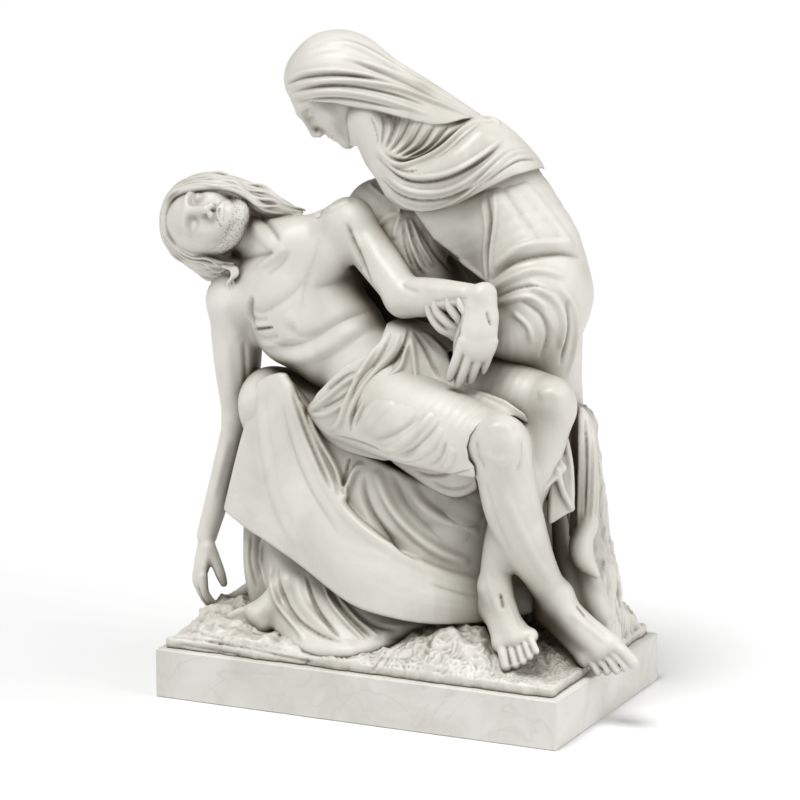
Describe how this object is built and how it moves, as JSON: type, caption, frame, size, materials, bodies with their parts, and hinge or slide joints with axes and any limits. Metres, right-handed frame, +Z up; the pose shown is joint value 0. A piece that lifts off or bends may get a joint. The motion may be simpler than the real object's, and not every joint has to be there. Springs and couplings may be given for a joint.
{
  "type": "pieta statue",
  "caption": "Carved marble group of a seated veiled woman holding a dead bearded man across her lap on a rocky mound, standing on a plain slab plinth.",
  "frame": {"origin": "centre of the plinth's underside", "axes": "+Z up, -Y the front that the figures face, +X to the right as seen from the front, along the plinth's length"},
  "size_m": [1.1896, 0.6052, 1.4631],
  "materials": {
    "carved_marble": "rubbed smooth, soft sheen",
    "slab_marble": "rubbed smooth, soft grey clouds"
  },
  "bodies": {
    "root": {"figure_group": "carved_marble", "plinth": "slab_marble"}
  },
  "joints": []
}
